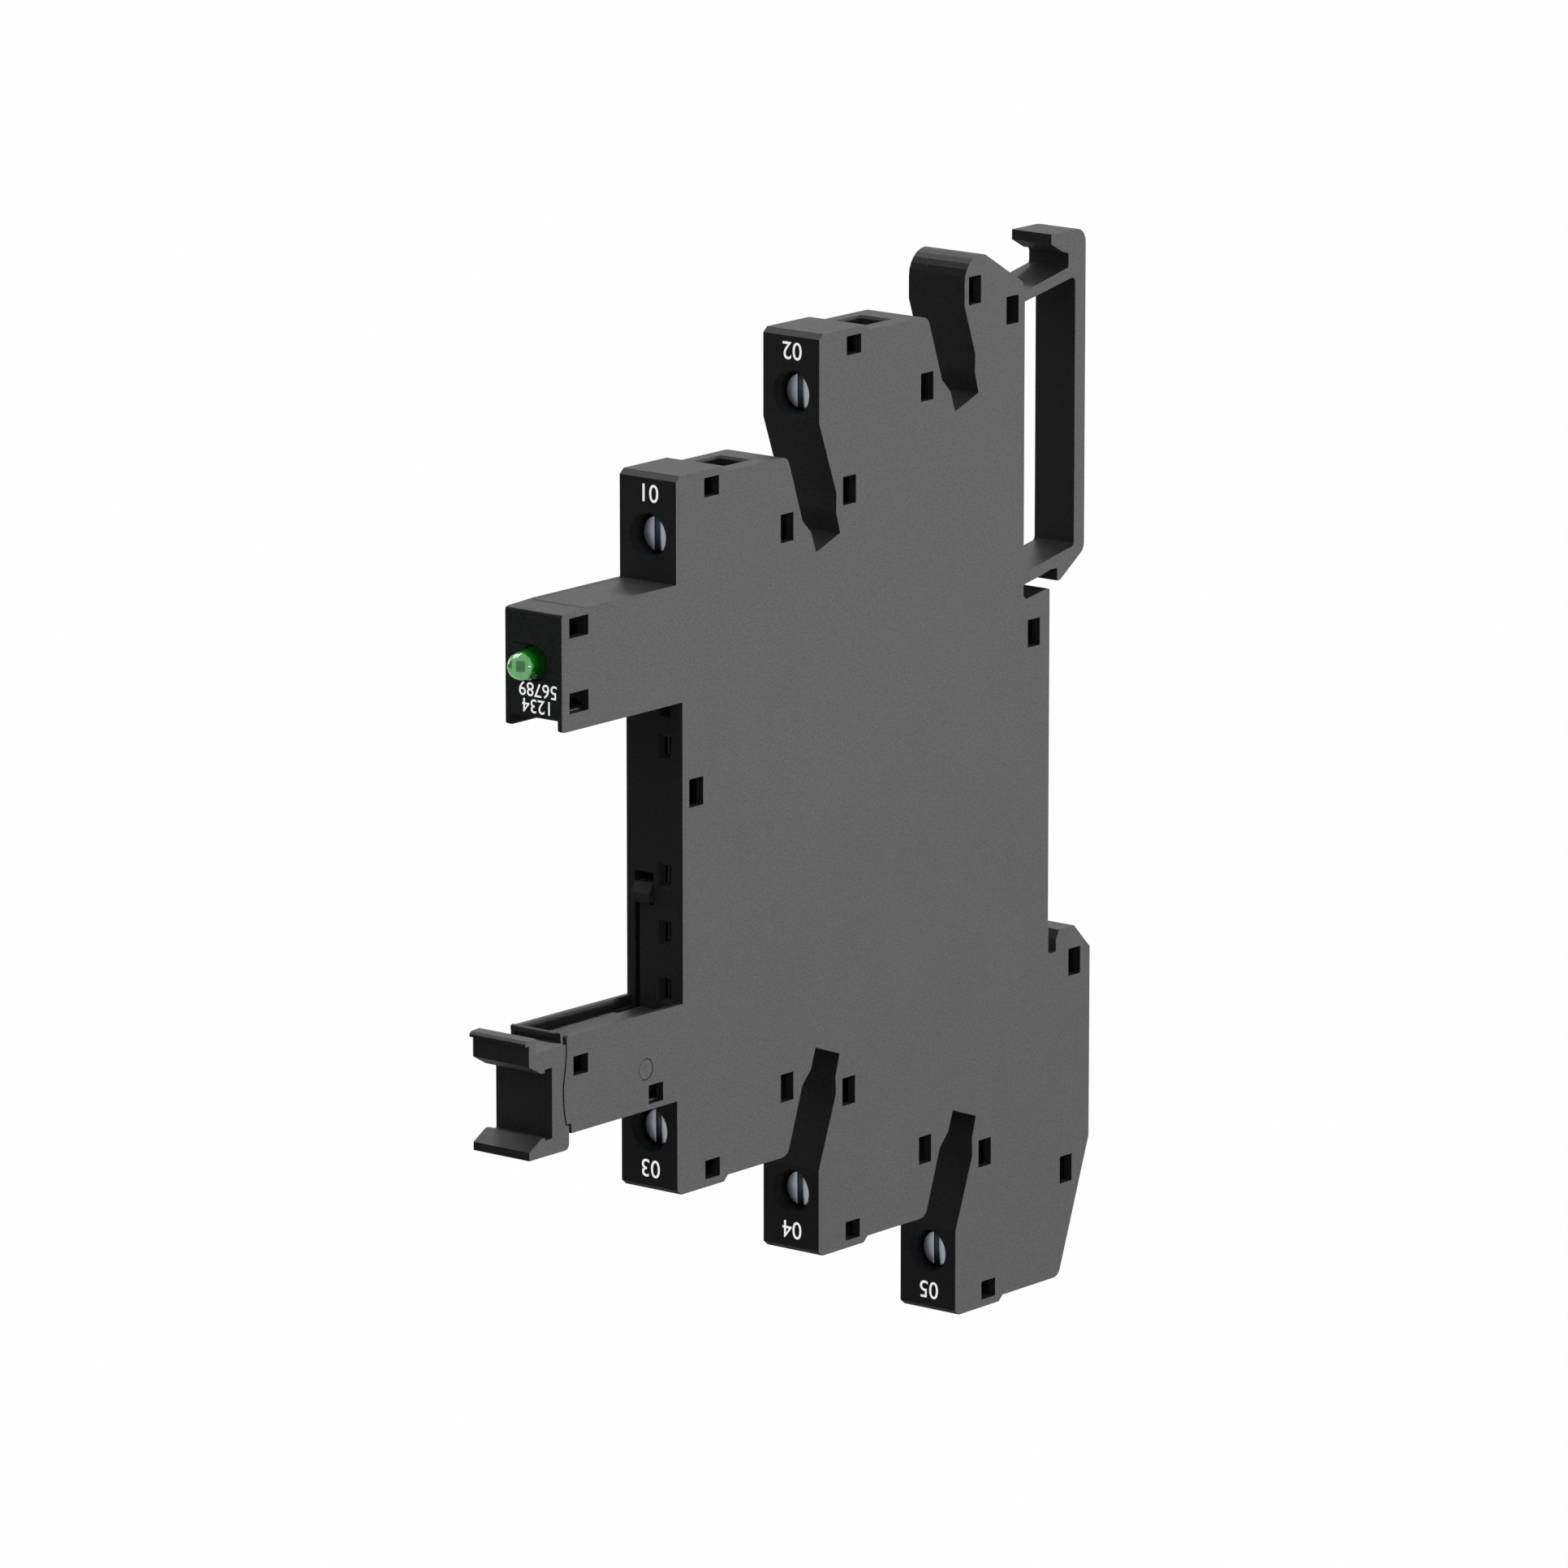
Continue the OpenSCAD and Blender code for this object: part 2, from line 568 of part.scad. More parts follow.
// Post that reaches towards window w, with a tapering hook that starts l behind its front
module snap_post(w, l) {
    y0 = w[0] + post_gap;
    y1 = w[1] - post_gap;
    z0 = w[2] + post_gap;
    z1 = w[3] - post_gap;
    block(in_far - eps, in_near - post_back, y0, y1, z0, z1);
    translate([0, y0 + l, z1 - 0.7]) linear_extrude(0.6)
        polygon([[in_near - post_back - eps, 0], [in_near + 0.1, 0],
            [in_near - post_back - eps, 0.45]]);
}
module side_lid() {
    color([0.36, 0.36, 0.37])
        difference() {
            union() {
                slab(x_far, in_far) intersection() {
                    core_outline();
                    offset(delta = -lid_gap) lid_recess();
                }
                for (w = windows) snap_post(w, hook_at(w));
            }
            bar_x(pivot_r + pivot_gap, x_far - 1, in_far + 1, pivot_y, pivot_z);
        }
}

// ---- Ejector lever ----

tag_front = nose_y - 4.99;
tag_back = tag_front + 3.01;
tag_top = bay_floor - 1.26;
tag_low = arm_bottom + 0.05;
lever_top = bay_floor + 1.66;
// Head of the lever with the recess for a marking tag
function head_profile() = concat(
    [[tag_front, lever_top - 0.52], [tag_front - 0.46, lever_top - 0.52],
     [tag_front - 0.46, lever_top - 0.27], [tag_front - 0.2, lever_top - 0.06],
     [tag_front + 0.84, lever_top], [tag_front + 0.84, lever_top - 1.02],
     [tag_front + 1.09, lever_top - 1.28], [nose_y - seam_gap, lever_top - 1.28]],
    reversed(seam_pts(seam_r + seam_gap, seam_gap)),
    [[nose_y + 0.25, arm_bottom + 0.7]],
    arc([nose_y - 0.25, arm_bottom - 0.85], 0.5, 0, -90, 4),
    [[tag_front, arm_bottom - 1.35], [tag_front, arm_bottom - 0.62],
     [tag_front + 1.59, arm_bottom + 0.3], [tag_back - 0.95, arm_bottom + 0.28],
     [tag_back - 0.95, tag_low], [tag_back, tag_low], [tag_back, tag_top],
     [tag_back - 0.95, tag_top], [tag_back - 0.95, tag_top - 0.3],
     [tag_front + 1.59, tag_top - 0.3], [tag_front, tag_top + 0.6]]);
hub_r = 1.4;
function lever_arm_pts() = [
    [nose_y - 1.25, pivot_z + 0.6], [nose_y + 3.05, pivot_z + 0.85], [pivot_y, pivot_z + hub_r],
    [pivot_y, pivot_z - hub_r], [pivot_y - 2, pivot_z - 2.1], [nose_y + 0.45, pivot_z - 2.55],
    [nose_y - 1.25, pivot_z - 2.55]];
function finger_pts() = [
    [pivot_y, pivot_z + hub_r], [bay_y + 1.0, pivot_z + 2.1], [bay_y + 2, bay_floor - 0.56],
    [bay_y + 2, hook_z0 - 0.45], [bay_y + 0.9, hook_z0 + 0.2], [bay_y + 0.9, hook_z1 - 0.9],
    [bay_y + 1.7, hook_z1 - 0.95], [bay_y + 2.6, hook_z1 - 1.6], [bay_y + 3.3, bay_floor - 0.56],
    [bay_y + 1.3, pivot_z], [pivot_y, pivot_z - hub_r]];
module ejector_lever() {
    arm_x = in_near - lever_side_gap;
    color([0.40, 0.40, 0.41]) {
        slab(x_far, x_near) polygon(head_profile());
        slab(-arm_x, arm_x) polygon(lever_arm_pts());
        bar_x(hub_r, -arm_x, arm_x, pivot_y, pivot_z);
        bar_x(pivot_r, x_far + 0.05, x_near - 0.03, pivot_y, pivot_z);
        slab(finger_x, finger_x + finger_t) polygon(finger_pts());
        // hook that pushes the relay out of its seat
        slab(finger_x + 0.02, -0.17) polygon([[bay_y + 1.5, hook_z1 - 0.95],
            [bay_y, hook_z1 - 0.9], [bay_y - 0.55, hook_z1 - 1.79],
            [bay_y - 0.55, hook_z0 + 0.2], [bay_y + 1.5, hook_z0 + 0.2]]);
    }
}

// ---- Clamps ----

module screw() {
    z = mid_z + screw_h;
    head_y = front_y + head_sink;
    color([0.72, 0.75, 0.78])
        difference() {
            union() {
                bar_y(head_r, head_y, collar_y - 0.02, 0, z);
                bar_y(shank_r, head_y + 0.5, cage_nut_y + 0.1, 0, z);
            }
            block(-slot_w / 2, slot_w / 2, head_y - 1, head_y + slot_d, z - 3, z + 3);
        }
}
module cage() {
    z0 = mid_z + screw_h - cage_h / 2;
    z1 = z0 + cage_h;
    x1 = in_near - 0.1;
    color([0.78, 0.72, 0.50])
        difference() {
            block(-x1, x1, cage_nut_y - nut_t, cage_back_y + cage_t, z0, z1);
            block(-x1 + cage_t, x1 - cage_t, cage_nut_y, cage_back_y, z0 - 1, z1 + 1);
            bar_y(shank_r + shank_gap, cage_nut_y - nut_t - 1, cage_nut_y + 1, 0, mid_z + screw_h);
        }
}

// ---- Conductors ----

// Flat strip of thickness strip_t along a line of points
module strip(pts, x0, x1) {
    slab(x0, x1) wall_line(pts, strip_t);
}
tongue_x = in_near - 0.1 - cage_t - 0.15;
strip_x = in_near - strip_w;
// Fork that grips a relay pin from both sides
module fork(z) {
    for (side = [-1, 1])
        block(pin_x + side * (fork_gap / 2 + fork_t / 2) - fork_t / 2,
            pin_x + side * (fork_gap / 2 + fork_t / 2) + fork_t / 2,
            fork_y, fork_back_y + strip_t / 2, z - fork_h / 2, z + fork_h / 2);
    block(pin_x - fork_gap / 2 - fork_t, pin_x + fork_gap / 2 + fork_t,
        fork_back_y - strip_t / 2, fork_back_y + strip_t / 2, z - fork_h / 2, z + fork_h / 2);
}
// Strip from terminal t's clamp through the points of its route to the pin at height z
module conductor(t, route, z) {
    clamp_end = place(t, [bus_u, screw_h + cage_h / 2 - 0.1]);
    clamp_root = place(t, [bus_u, screw_h - cage_h / 2 - 0.5]);
    color([0.80, 0.55, 0.32]) {
        strip([clamp_end, clamp_root], -tongue_x, tongue_x);
        strip(concat([clamp_root], route, [[fork_back_y, z]]), strip_x, in_near);
        fork(z);
    }
}
module conductor_a1() { conductor(TERM_A1, [[bus_y, pin_coil_1]], pin_coil_1); }
module conductor_a2() {
    y = bus_y + pitch_y;
    conductor(TERM_A2, [[y, coil_run_z], [coil_strip_y, coil_run_z], [coil_strip_y, pin_coil_2]],
        pin_coil_2);
}
module conductor_14() { conductor(TERM_14, [[bus_y, pin_com_14]], pin_com_14); }
module conductor_11() {
    y = bus_y + pitch_y;
    conductor(TERM_11, [[y, mid_run_z], [mid_strip_y, mid_run_z], [mid_strip_y, pin_com_11]],
        pin_com_11);
}
module conductor_12() {
    y = bus_y + 2 * pitch_y;
    conductor(TERM_12, [[y, com_run_z], [com_strip_y, com_run_z], [com_strip_y, pin_com_12]],
        pin_com_12);
}

// ---- Indicator circuit in the upper arm ----

board_t = 0.8;
board_x = in_near - board_t;
board_y0 = arm_y + 3.9;
board_y1 = bus_y - strip_t / 2;
board_z0 = bay_top + edge_wall + 0.25;
board_z1 = arm_top - edge_wall - 0.25;
parts_y = arm_y + 6.5;
module circuit_board() {
    color([0.12, 0.38, 0.20])
        block(board_x, in_near, board_y0, board_y1, board_z0, board_z1);
}
module led() {
    ball_y = arm_y - led_out + led_r;
    color([0.05, 0.62, 0.18]) {
        bar_y(led_r, ball_y, arm_y + edge_wall + 1.6, 0, led_z);
        translate([0, ball_y, led_z]) rotate([90, 0, 0]) rotate_extrude()
            intersection() {
                circle(r = led_r);
                square([led_r, led_r]);
            }
        bar_y(led_r + 0.2, arm_y + edge_wall + 0.05, arm_y + edge_wall + 0.95, 0, led_z);
    }
}
// One of the lamp's two bent leads, side 1 above the axis and -1 below it
lead_w = 0.4;
module led_lead(side) {
    y0 = arm_y + edge_wall + 1.6;
    z = led_z + side * 1.27 / 2;
    color([0.75, 0.75, 0.76]) {
        block(-lead_w / 2, lead_w / 2, y0, board_y0 + 1.2, z - lead_w / 2, z + lead_w / 2);
        block(lead_w / 2 - eps, board_x, board_y0 + 0.8, board_y0 + 1.2,
            z - lead_w / 2, z + lead_w / 2);
    }
}
module bridge_rectifier() {
    color([0.10, 0.10, 0.11]) {
        block(board_x - 1.6, board_x - 0.2, bay_y + 0.9, bay_y + 4.9, led_z - 2, led_z + 2);
        for (z = [-1.3, 1.3], y = [bay_y + 0.4, bay_y + 4.9])
            block(board_x - 0.5, board_x, y, y + 0.5, led_z + z - 0.3, led_z + z + 0.3);
    }
}
module led_resistor() {
    r = 0.8;
    color([0.30, 0.45, 0.62]) bar_y(r, parts_y, parts_y + 3.8, board_x - r, led_z + 1.9);
}
module surge_diode() {
    r = 0.75;
    color([0.85, 0.42, 0.20]) bar_y(r, parts_y, parts_y + 3.6, board_x - r, led_z - 1.9);
}
module filter_capacitor() {
    color([0.62, 0.50, 0.28])
        block(board_x - 1.9, board_x, parts_y + 4.4, parts_y + 7.8, led_z - 1.4, led_z + 1.4);
}
// Insulated link from the second coil strip over the first one to the board
module jumper_wire() {
    r = 0.35;
    x = in_far + 0.6;
    y = fork_back_y + 0.9;
    z = led_z - 1.5;
    color([0.75, 0.12, 0.10]) {
        bar_y(r, y, coil_strip_y + 0.3, x, z);
        bar_x(r, x, board_x, y, z);
        bar_x(r, x, strip_x, coil_strip_y, z);
    }
}

housing();
side_lid();
ejector_lever();
led();
led_lead(1);  // led_lead_1
led_lead(-1);  // led_lead_2
circuit_board();
bridge_rectifier();
led_resistor();
surge_diode();
filter_capacitor();
jumper_wire();
conductor_a1();
conductor_a2();
conductor_11();
conductor_12();
conductor_14();
at(TERM_A1) screw();  // screw_a1
at(TERM_A2) screw();  // screw_a2
at(TERM_11) screw();  // screw_11
at(TERM_12) screw();  // screw_12
at(TERM_14) screw();  // screw_14
at(TERM_A1) cage();  // cage_a1
at(TERM_A2) cage();  // cage_a2
at(TERM_11) cage();  // cage_11
at(TERM_12) cage();  // cage_12
at(TERM_14) cage();  // cage_14
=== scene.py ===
"""Dresses a slim rail-mounted relay socket: plastics, metals, lamp, printed marks and studio."""

import math

import bmesh
import bpy
from bpy.props import FloatProperty, FloatVectorProperty, PointerProperty
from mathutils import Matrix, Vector


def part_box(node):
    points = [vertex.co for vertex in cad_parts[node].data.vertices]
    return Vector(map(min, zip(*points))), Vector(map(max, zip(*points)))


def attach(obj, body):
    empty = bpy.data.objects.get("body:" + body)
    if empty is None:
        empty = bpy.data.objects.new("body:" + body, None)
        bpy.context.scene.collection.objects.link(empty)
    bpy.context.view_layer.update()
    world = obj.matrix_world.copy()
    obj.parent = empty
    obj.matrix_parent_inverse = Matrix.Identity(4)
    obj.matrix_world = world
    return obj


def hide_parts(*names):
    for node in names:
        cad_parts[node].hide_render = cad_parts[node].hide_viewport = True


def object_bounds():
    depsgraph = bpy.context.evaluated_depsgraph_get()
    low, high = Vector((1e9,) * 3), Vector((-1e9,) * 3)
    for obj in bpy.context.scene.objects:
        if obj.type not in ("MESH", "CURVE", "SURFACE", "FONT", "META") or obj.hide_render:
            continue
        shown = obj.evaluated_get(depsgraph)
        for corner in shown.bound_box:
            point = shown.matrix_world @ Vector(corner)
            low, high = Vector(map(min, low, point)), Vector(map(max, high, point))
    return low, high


bl_info = {
    "name": "Relay Socket Dresser",
    "version": (1, 0, 0),
    "blender": (4, 5, 0),
    "location": "3D View > Sidebar > Relay Socket",
    "description": "Finishes, lamp, screws, printed marks and studio for a slim relay socket",
    "category": "Object",
}

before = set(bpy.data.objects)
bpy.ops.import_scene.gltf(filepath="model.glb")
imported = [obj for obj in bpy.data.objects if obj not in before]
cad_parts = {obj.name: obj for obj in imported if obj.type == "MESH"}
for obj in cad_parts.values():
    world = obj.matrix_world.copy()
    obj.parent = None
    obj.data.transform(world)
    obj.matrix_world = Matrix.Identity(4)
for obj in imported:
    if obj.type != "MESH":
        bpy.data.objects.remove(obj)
CAD_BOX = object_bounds()
MM = 0.001

TERMINALS = ("a1", "a2", "11", "12", "14")
SCREW_BOXES = {name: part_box("screw_" + name) for name in TERMINALS}
LAMP_LOW, LAMP_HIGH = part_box("led")
LAMP_CENTRE = (LAMP_LOW + LAMP_HIGH) / 2

# Front of the upper arm, its height over and under the lamp, and front of the tower behind it
ARM_FACE = -67.5 * MM
ARM_HALF_HEIGHT = 4.67 * MM
TOWER_FACE = -52.3 * MM

# Height of the ink and of the hairlines over the face that carries them
FILM = 0.012 * MM

# Height of a capital letter as a share of the font's size
CAPITAL_SHARE = 0.7

# Name, text, whether it is small, and the place of its middle in millimetres
PRINTS = (
    ("number_a1", "01", False, (0.1, -52.3, 32.1)),
    ("number_a2", "02", False, (0.1, -32.8, 41.6)),
    ("number_14", "03", False, (0.1, -52.3, -27.2)),
    ("number_11", "04", False, (0.1, -32.8, -36.7)),
    ("number_12", "05", False, (0.1, -13.3, -46.25)),
    ("scale_1", "1234", True, (0.4, -67.5, 16.08)),
    ("scale_2", "56789", True, (0.48, -67.5, 17.5)),
)

# Colour and roughness of each piece of the lamp circuit
CIRCUIT = {
    "circuit_board": ((0.03, 0.16, 0.06), 0.35),
    "bridge_rectifier": ((0.018, 0.018, 0.02), 0.5),
    "led_resistor": ((0.10, 0.22, 0.38), 0.3),
    "surge_diode": ((0.60, 0.18, 0.05), 0.2),
    "filter_capacitor": ((0.42, 0.29, 0.12), 0.45),
    "jumper_wire": ((0.55, 0.03, 0.02), 0.4),
}

# Dark squares seen through the lens: place across, half width, and share of the glow's colour
CHIP_SQUARES = ((0.0, 0.36 * MM, 0.34), (-0.82 * MM, 0.20 * MM, 0.14))

# Name, direction that the light comes from, strength, and softness in degrees
SUNS = (
    ("Side light", (1.0, 0.40, 0.0), 4.08, 10),
    ("Top light", (-0.6, 0.75, 1.2), 2.28, 12),
    ("Sky light", (0.0, -0.2, 1.0), 0.10, 110),
    ("Far side light", (-1.0, 0.1, 0.05), 1.0, 30),
    ("Rear light", (0.0, 1.0, 0.05), 0.6, 30),
)


# ---------------------------------------------------------------- settings


class SocketPlastics(bpy.types.PropertyGroup):
    """Colours and surface of the moulded pieces"""

    housing: FloatVectorProperty(
        name="Housing", description="Colour of the housing and the lid", subtype="COLOR",
        default=(0.128, 0.128, 0.128))
    lever: FloatVectorProperty(
        name="Lever", description="Colour of the ejector lever", subtype="COLOR",
        default=(0.124, 0.124, 0.124))
    grain_size: FloatProperty(
        name="Grain", description="Size of the grain left by the mould", unit="LENGTH",
        default=0.12 * MM)
    grain_depth: FloatProperty(
        name="Grain depth", description="Depth of the mould grain", unit="LENGTH",
        default=0.006 * MM)


class SocketMetals(bpy.types.PropertyGroup):
    """Colours of the metal pieces and sizes of the screws"""

    screw: FloatVectorProperty(
        name="Screws", description="Colour of the zinc-plated screws", subtype="COLOR",
        default=(0.335, 0.372, 0.41))
    cage: FloatVectorProperty(
        name="Cages", description="Colour of the plated clamp cages", subtype="COLOR",
        default=(0.66, 0.62, 0.46))
    strip: FloatVectorProperty(
        name="Conductors", description="Colour of the tinned conductors", subtype="COLOR",
        default=(0.20, 0.20, 0.205))
    wire: FloatVectorProperty(
        name="Leads", description="Colour of the lamp's tinned leads", subtype="COLOR",
        default=(0.72, 0.72, 0.73))
    thread_pitch: FloatProperty(
        name="Thread pitch", description="Distance between two turns of the thread", unit="LENGTH",
        default=0.45 * MM)
    thread_depth: FloatProperty(
        name="Thread depth", description="Depth of the thread", unit="LENGTH", default=0.16 * MM)
    rim: FloatProperty(
        name="Head rim", description="Width of the bevel around the screw head", unit="LENGTH",
        default=0.14 * MM)


class SocketLamp(bpy.types.PropertyGroup):
    """Colour and inner parts of the indicator lamp"""

    lens: FloatVectorProperty(
        name="Lens", description="Colour of the lamp's lens", subtype="COLOR",
        default=(0.25, 0.92, 0.30))
    glow: FloatVectorProperty(
        name="Glow", description="Colour of the lit end inside the lens", subtype="COLOR",
        default=(0.24, 0.33, 0.24))
    body: FloatVectorProperty(
        name="Body", description="Colour of the lit resin near the lit end", subtype="COLOR",
        default=(0.007, 0.15, 0.009))
    deep: FloatVectorProperty(
        name="Deep", description="Colour of the resin in the arm", subtype="COLOR",
        default=(0.001, 0.012, 0.002))
    dome_radius: FloatProperty(
        name="Dome", description="Radius of the lens's dome", unit="LENGTH", default=1.2 * MM)
    core_radius: FloatProperty(
        name="Core", description="Radius of the lit end inside the lens", unit="LENGTH",
        default=1.08 * MM)


class SocketMarks(bpy.types.PropertyGroup):
    """Printed numbers at the terminals and under the lamp"""

    ink: FloatVectorProperty(
        name="Ink", description="Colour of the printed marks", subtype="COLOR",
        default=(0.86, 0.86, 0.86))
    height: FloatProperty(
        name="Height", description="Height of a terminal's number", unit="LENGTH",
        default=1.56 * MM)
    small_height: FloatProperty(
        name="Small height", description="Height of the numbers under the lamp", unit="LENGTH",
        default=1.2 * MM)
    film: FloatProperty(
        name="Film", description="Thickness of the ink", unit="LENGTH", default=FILM)


class SocketStudio(bpy.types.PropertyGroup):
    """Camera and floor"""

    lens: FloatProperty(
        name="Lens", description="Focal length of the camera in millimetres", default=257.84)
    azimuth: FloatProperty(
        name="Azimuth", description="Turn of the camera about the part", subtype="ANGLE",
        default=math.radians(38.761))
    elevation: FloatProperty(
        name="Elevation", description="Height of the camera over the part", subtype="ANGLE",
        default=math.radians(12.578))
    place: FloatVectorProperty(
        name="Place", description="Place of the camera", subtype="TRANSLATION",
        default=(0.59604, -0.77615, 0.21585))
    floor_drop: FloatProperty(
        name="Floor", description="Drop from the part's lowest point to the floor", unit="LENGTH",
        default=150 * MM)


SETTINGS = {
    "socket_plastics": SocketPlastics,
    "socket_metals": SocketMetals,
    "socket_lamp": SocketLamp,
    "socket_marks": SocketMarks,
    "socket_studio": SocketStudio,
}


# ---------------------------------------------------------------- small tools


def deselect():
    """Leave edit mode and clear the selection."""
    if bpy.context.object and bpy.context.object.mode != "OBJECT":
        bpy.ops.object.mode_set(mode="OBJECT")
    bpy.ops.object.select_all(action="DESELECT")


def take(piece):
    """Make a piece the only one selected and the active one."""
    deselect()
    piece.select_set(True)
    bpy.context.view_layer.objects.active = piece


def named(name):
    """Name the object that was just added."""
    piece = bpy.context.object
    piece.name = name
    piece.data.name = name
    return piece


def pick_edges(piece, test):
    """In edit mode, select the edges whose two ends pass a test."""
    bpy.ops.mesh.select_mode(type="EDGE")
    bpy.ops.mesh.select_all(action="DESELECT")
    mesh = bmesh.from_edit_mesh(piece.data)
    for edge in mesh.edges:
        if test(edge.verts[0].co, edge.verts[1].co):
            edge.select_set(True)
    bmesh.update_edit_mesh(piece.data)


def apply_modifiers(piece):
    """Apply every modifier of a piece, from the top down."""
    take(piece)
    for modifier in list(piece.modifiers):
        bpy.ops.object.modifier_apply(modifier=modifier.name)


def settle(piece, material, body, smooth=30.0):
    """Put the place into the mesh, then give finish and body."""
    take(piece)
    bpy.ops.object.transform_apply(location=True, rotation=True, scale=True)
    if smooth:
        bpy.ops.object.shade_smooth_by_angle(angle=math.radians(smooth))
    piece.data.materials.clear()
    piece.data.materials.append(material)
    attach(piece, body)
    deselect()


def finish_node(node, material):
    """Give a solid of the frame its finish."""
    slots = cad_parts[node].data.materials
    slots.clear()
    slots.append(material)


# ---------------------------------------------------------------- node helpers


def new_material(name):
    """A material with only an output node, and its node tree."""
    material = bpy.data.materials.new(name)
    material.use_nodes = True
    material.node_tree.nodes.clear()
    return material, material.node_tree


def add(tree, kind, **sockets):
    """Add a node, and set its sockets by name: a value is written and a socket is linked."""
    node = tree.nodes.new(kind)
    for name, value in sockets.items():
        socket = node.inputs[name.replace("_", " ")]
        if isinstance(value, bpy.types.NodeSocket):
            tree.links.new(value, socket)
        else:
            socket.default_value = value
    return node


def rgba(colour, gain=1.0):
    """A colour made brighter or darker, with its alpha."""
    return (colour[0] * gain, colour[1] * gain, colour[2] * gain, 1.0)


def noise(tree, size, detail=3.0, roughness=0.55):
    """Noise in object space whose features are about one size wide."""
    where = add(tree, "ShaderNodeTexCoord").outputs["Object"]
    return add(tree, "ShaderNodeTexNoise", Vector=where, Scale=1.0 / size, Detail=detail,
               Roughness=roughness).outputs["Fac"]


def stretch(tree, value, low, high):
    """Map 0.3..0.7, where noise mostly lies, to low..high."""
    return add(tree, "ShaderNodeMapRange", Value=value, From_Min=0.3, From_Max=0.7, To_Min=low,
               To_Max=high).outputs["Result"]


def two_tones(tree, value, first, second):
    """Blend two colours by a value; a colour is written and a socket is linked."""
    mix = tree.nodes.new("ShaderNodeMix")
    mix.data_type = "RGBA"
    tree.links.new(value, mix.inputs["Factor"])
    for name, colour in (("A", first), ("B", second)):
        if isinstance(colour, bpy.types.NodeSocket):
            tree.links.new(colour, mix.inputs[name])
        else:
            mix.inputs[name].default_value = colour
    return mix.outputs["Result"]


def calc(tree, operation, first, second=0.0):
    """One sum on two numbers; a number is written and a socket is linked."""
    node = tree.nodes.new("ShaderNodeMath")
    node.operation = operation
    for place, value in enumerate((first, second)):
        if isinstance(value, bpy.types.NodeSocket):
            tree.links.new(value, node.inputs[place])
        else:
            node.inputs[place].default_value = value
    return node.outputs["Value"]


def ramp(tree, value, start, end):
    """0 up to start, 1 from end on, and a smooth rise between them."""
    node = add(tree, "ShaderNodeMapRange", Value=value, From_Min=start, From_Max=end)
    node.interpolation_type = "SMOOTHSTEP"
    return node.outputs["Result"]


def mottled(tree, pattern, colour, low, high):
    """A colour whose brightness wanders between two gains with a pattern."""
    return two_tones(tree, stretch(tree, pattern, 0.0, 1.0), rgba(colour, low), rgba(colour, high))


def bump(tree, height, depth):
    """A normal that follows a height pattern."""
    return add(tree, "ShaderNodeBump", Height=height, Distance=depth,
               Strength=1.0).outputs["Normal"]


def surface(tree, **sockets):
    """Principled surface wired to a new output."""
    shader = add(tree, "ShaderNodeBsdfPrincipled", **sockets)
    add(tree, "ShaderNodeOutputMaterial", Surface=shader.outputs["BSDF"])


# ---------------------------------------------------------------- finishes


def moulded_plastic(name, colour, grain, depth, shine=0.03):
    """Matt glass-filled plastic with the fine grain of an eroded mould."""
    material, tree = new_material(name)
    fine = noise(tree, grain, detail=4.0, roughness=0.7)
    tone = mottled(tree, noise(tree, grain, detail=2.0), colour, 0.72, 1.28)
    drift = stretch(tree, noise(tree, 9 * MM, detail=2.0), 0.985, 1.015)
    shade = add(tree, "ShaderNodeHueSaturation", Color=tone, Value=drift).outputs["Color"]
    surface(tree, Base_Color=shade, Roughness=stretch(tree, fine, 0.52, 0.66),
            Specular_IOR_Level=shine, Normal=bump(tree, fine, depth))
    return material


def plated_steel(name, colour, roughness, brushed=0.0):
    """Zinc or tin plating with fine unevenness, drawn out along the depth where it is brushed."""
    material, tree = new_material(name)
    where = add(tree, "ShaderNodeTexCoord").outputs["Object"]
    squeezed = add(tree, "ShaderNodeMapping", Vector=where,
                   Scale=(1.0, 1.0 - 0.9 * brushed, 1.0)).outputs["Vector"]
    fine = add(tree, "ShaderNodeTexNoise", Vector=squeezed, Scale=1 / (0.12 * MM), Detail=4.0,
               Roughness=0.6).outputs["Fac"]
    tone = mottled(tree, noise(tree, 0.9 * MM, detail=3.0), colour, 0.88, 1.08)
    surface(tree, Base_Color=tone, Metallic=1.0,
            Roughness=stretch(tree, fine, roughness - 0.07, roughness + 0.09),
            Normal=bump(tree, fine, 0.004 * MM))
    return material


def tinted_lens(name, colour):
    """Tinted clear resin that lets light through."""
    material, tree = new_material(name)
    haze = noise(tree, 0.5 * MM, detail=2.0)
    tone = mottled(tree, haze, colour, 0.92, 1.06)
    surface(tree, Base_Color=tone, Roughness=stretch(tree, haze, 0.02, 0.07), IOR=1.36,
            Transmission_Weight=1.0)
    return material


